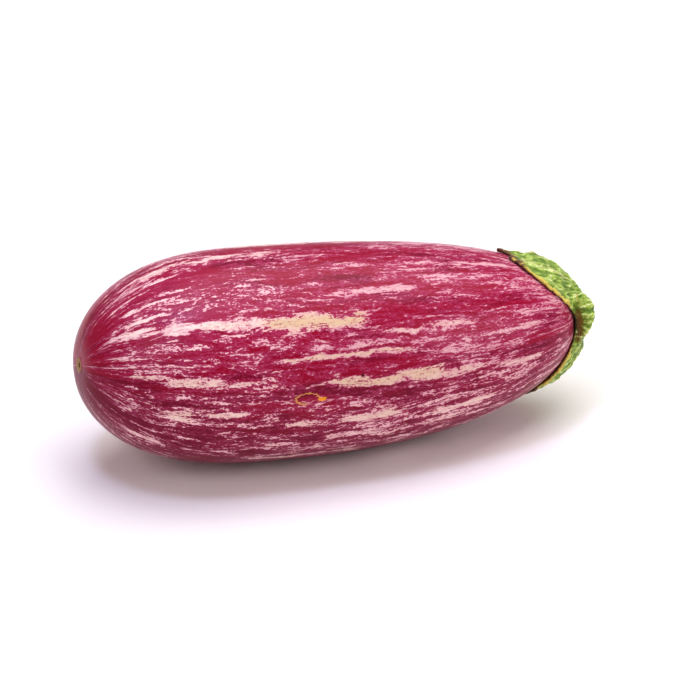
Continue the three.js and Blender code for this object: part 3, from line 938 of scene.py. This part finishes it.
def stem_material(size):
    """Eggplant stalk: ribbed green rind with corky flecks, and a fibrous cut that has dried to tan."""
    material, tree = new_material("ribbed_green_stalk")
    place = add_node(tree, "TexCoord").outputs["Object"]
    fibre = add_node(tree, "Attribute", attribute_name="fibre").outputs["Vector"]
    face = add_node(tree, "Attribute", attribute_name="face").outputs["Fac"]
    kit = NodeKit(tree)
    strands = kit.grain(fibre, 0.6, 7.0, 3, 0.6, 2.0)
    coarse = kit.grain(place, 2.0, 2.6, 3, 0.6, 5.0)
    fine = kit.grain(place, 0.35, 0.35, 2, 0.6, 8.0)
    flecks = kit.grain(fibre, 0.8, 1.4, 3, 0.7, 3.0)

    tone = kit.total(strands, (coarse, 0.6), (fine, 0.4))
    rind = kit.painted(
        size.skin_dark,
        (kit.mask(0.80, 1.00, tone), size.skin),
        (kit.mask(0.98, 1.22, tone), size.skin_pale),
        (kit.mask(0.64, 0.70, flecks, top=0.8), size.cork),
    )
    cut = kit.painted(
        size.cut,
        (kit.mask(0.35, 0.7, fine), size.cut_pale),
        (kit.mask(0.42, 0.22, face, (coarse, 0.3), top=0.9), size.cork),
    )
    stalk = kit.painted(rind, (kit.mask(0.0, 0.04, face), cut))
    relief = kit.total(strands, (fine, 0.5))
    kit.surface(stalk, relief, 0.6, 0.25, {"Roughness": 0.55, "Specular IOR Level": 0.3})
    return material


class EGGPLANT_OT_stem(bpy.types.Operator):
    """The ribbed stem, bent away and cut across"""

    bl_idname = "eggplant.stem"
    bl_label = "Stem"

    def execute(self, context):
        """Models the stem from a sphere, whose last rings lie in the cut."""
        size = context.scene.eggplant_stem
        calyx = context.scene.eggplant_calyx
        form = FruitForm(context.scene.eggplant_fruit)
        turn_at_end, rise_at_end = form.heading(1.0)

        def heading(at):
            turn = turn_at_end + size.lean + size.bend * at
            return turn, rise_at_end - size.droop * at

        way = route(size.length, STEM_STEPS, heading)
        root = form.shoulder(np.zeros(1), np.zeros(1), calyx.gap + calyx.thickness - size.sunk)

        def place(ring, turn, pole):
            at = np.clip(ring / STEM_BODY, 0, 1)
            face = np.clip((ring - STEM_BODY) / (1 - STEM_BODY), 0, 1)
            flare = STEM_FLARE * ((1 - at) ** 3 + 0.5 * at**6)
            radius = size.radius + flare + STEM_RIBS[1] * np.cos(STEM_RIBS[0] * turn)
            radius = radius * np.where(pole, 0, 1 - face)
            along, side, up = axes(*heading(at))
            points = way(at) + root
            points = points + side * (radius * np.cos(turn))[:, None] + up * (radius * np.sin(turn))[:, None]
            dished = -CUT_DISH * smooth_step(face, 0.1, 0.5)
            fibre = np.stack([size.radius * np.cos(turn), size.radius * np.sin(turn), size.length * at], -1)
            return form.placed(points + along * dished[:, None]), face, fibre

        stem, face, fibre = wrapped_sphere("stem_stalk", STEM_SIDES, STEM_RINGS, place)
        points = points_of(stem)
        relief = roughness_of(points, *STEM_LUMPS) + roughness_of(points, *STEM_ROUGHNESS)
        move_points(stem, points + normals_of(stem) * relief[:, None])
        store(stem, "face", face)
        store(stem, "fibre", fibre)
        finish_piece(stem, "stem", stem_material(size))
        return {"FINISHED"}


# ---- The studio ----

FLOOR_WIDTH = 12
# The softboxes: name, place and width in metres, brightness and tint.
SOFTBOXES = (
    ("overhead_softbox", (0.22, 0.22, 1.0), 1.0, 2.95, "#FFFFFF"),
    ("sky_light", (-0.19, -0.15, 0.82), 0.14, 25.0, "#D2D6FF"),
    ("left_fill", (-0.9, -0.8, 0.95), 0.8, 2.2, "#FFFAFA"),
    ("right_fill", (1.2, -0.9, 0.7), 0.9, 3.3, "#FFFAFA"),
)


def add_softbox(name, place, width, brightness, tint, target):
    """A square softbox that faces the target, and is brightness times as bright as white paper."""
    bpy.ops.object.light_add(type="AREA", location=place)
    lamp = bpy.context.object
    lamp.name = name
    lamp.data.shape = "SQUARE"
    lamp.data.size = width
    lamp.data.energy = brightness * math.pi * width**2
    lamp.data.color = linear(tint)[:3]
    lamp.rotation_euler = (Vector(place) - target).to_track_quat("Z", "Y").to_euler()


def paper_material(size):
    """Studio paper: white and quite matt, so that it shows soft shadows and no reflections."""
    material, tree = new_material("white_studio_paper")
    inputs = {"Base Color": size.paper, "Roughness": 0.9, "Specular IOR Level": 0.1}
    shader = add_node(tree, "BsdfPrincipled", inputs).outputs[0]
    add_node(tree, "OutputMaterial", {"Surface": shader})
    return material


class EGGPLANT_OT_stage(bpy.types.Operator):
    """The white floor, the soft lights and the camera"""

    bl_idname = "eggplant.stage"
    bl_label = "Stage"

    def execute(self, context):
        """Sets the floor, the world, the lights and the camera round the fruit."""
        size = context.scene.eggplant_stage
        low, high = (Vector(corner) for corner in CAD_BOX)
        middle = (low + high) / 2
        bpy.ops.object.select_all(action="DESELECT")
        bpy.ops.mesh.primitive_plane_add(size=FLOOR_WIDTH, location=(0, 0, 0))
        floor = context.object
        floor.name = "floor"
        floor.data.materials.append(paper_material(size))

        world = bpy.data.worlds.new("white_studio")
        context.scene.world = world
        world.use_nodes = True
        background = world.node_tree.nodes["Background"].inputs
        background["Color"].default_value = size.fill
        background["Strength"].default_value = size.fill_strength
        for softbox in SOFTBOXES:
            add_softbox(*softbox, middle)

        level = math.cos(size.elevation)
        towards = (math.sin(size.azimuth) * level, -math.cos(size.azimuth) * level, math.sin(size.elevation))
        tilt = Vector(towards)
        bpy.ops.object.camera_add(location=middle + tilt * size.distance)
        camera = context.object
        camera.rotation_euler = tilt.to_track_quat("Z", "Y").to_euler()
        camera.data.lens = size.lens
        camera.data.clip_start = 0.01
        context.scene.camera = camera
        context.scene.view_settings.view_transform = "Standard"
        context.scene.view_settings.look = "Medium High Contrast"
        return {"FINISHED"}


# ---- The add-on ----


class EGGPLANT_PT_panel(bpy.types.Panel):
    """The eggplant's pieces and settings"""

    bl_idname = "EGGPLANT_PT_panel"
    bl_label = "Striped eggplant"
    bl_space_type = "VIEW_3D"
    bl_region_type = "UI"
    bl_category = "Eggplant"

    def draw(self, context):
        """Lists each operator under its settings."""
        for operator, group in STEPS:
            box = self.layout.box()
            settings = getattr(context.scene, group)
            for name in settings.bl_rna.properties.keys():
                if name not in ("rna_type", "name"):
                    box.prop(settings, name)
            box.operator(operator)


GROUPS = {
    "eggplant_fruit": FruitSettings,
    "eggplant_calyx": CalyxSettings,
    "eggplant_stem": StemSettings,
    "eggplant_stage": StageSettings,
}
OPERATORS = (EGGPLANT_OT_fruit, EGGPLANT_OT_calyx, EGGPLANT_OT_stem, EGGPLANT_OT_stage)
STEPS = tuple(zip((operator.bl_idname for operator in OPERATORS), GROUPS))
CLASSES = (*GROUPS.values(), *OPERATORS, EGGPLANT_PT_panel)


def register():
    """Registers the classes, and hangs the settings on the scene."""
    for cls in CLASSES:
        bpy.utils.register_class(cls)
    for name, group in GROUPS.items():
        setattr(bpy.types.Scene, name, bpy.props.PointerProperty(type=group))


def unregister():
    """Takes the settings and the classes away."""
    for name in GROUPS:
        delattr(bpy.types.Scene, name)
    for cls in reversed(CLASSES):
        bpy.utils.unregister_class(cls)


def main():
    register()
    bpy.ops.eggplant.fruit()
    bpy.ops.eggplant.calyx()
    bpy.ops.eggplant.stem()
    bpy.ops.eggplant.stage()


if __name__ == "__main__":
    main()
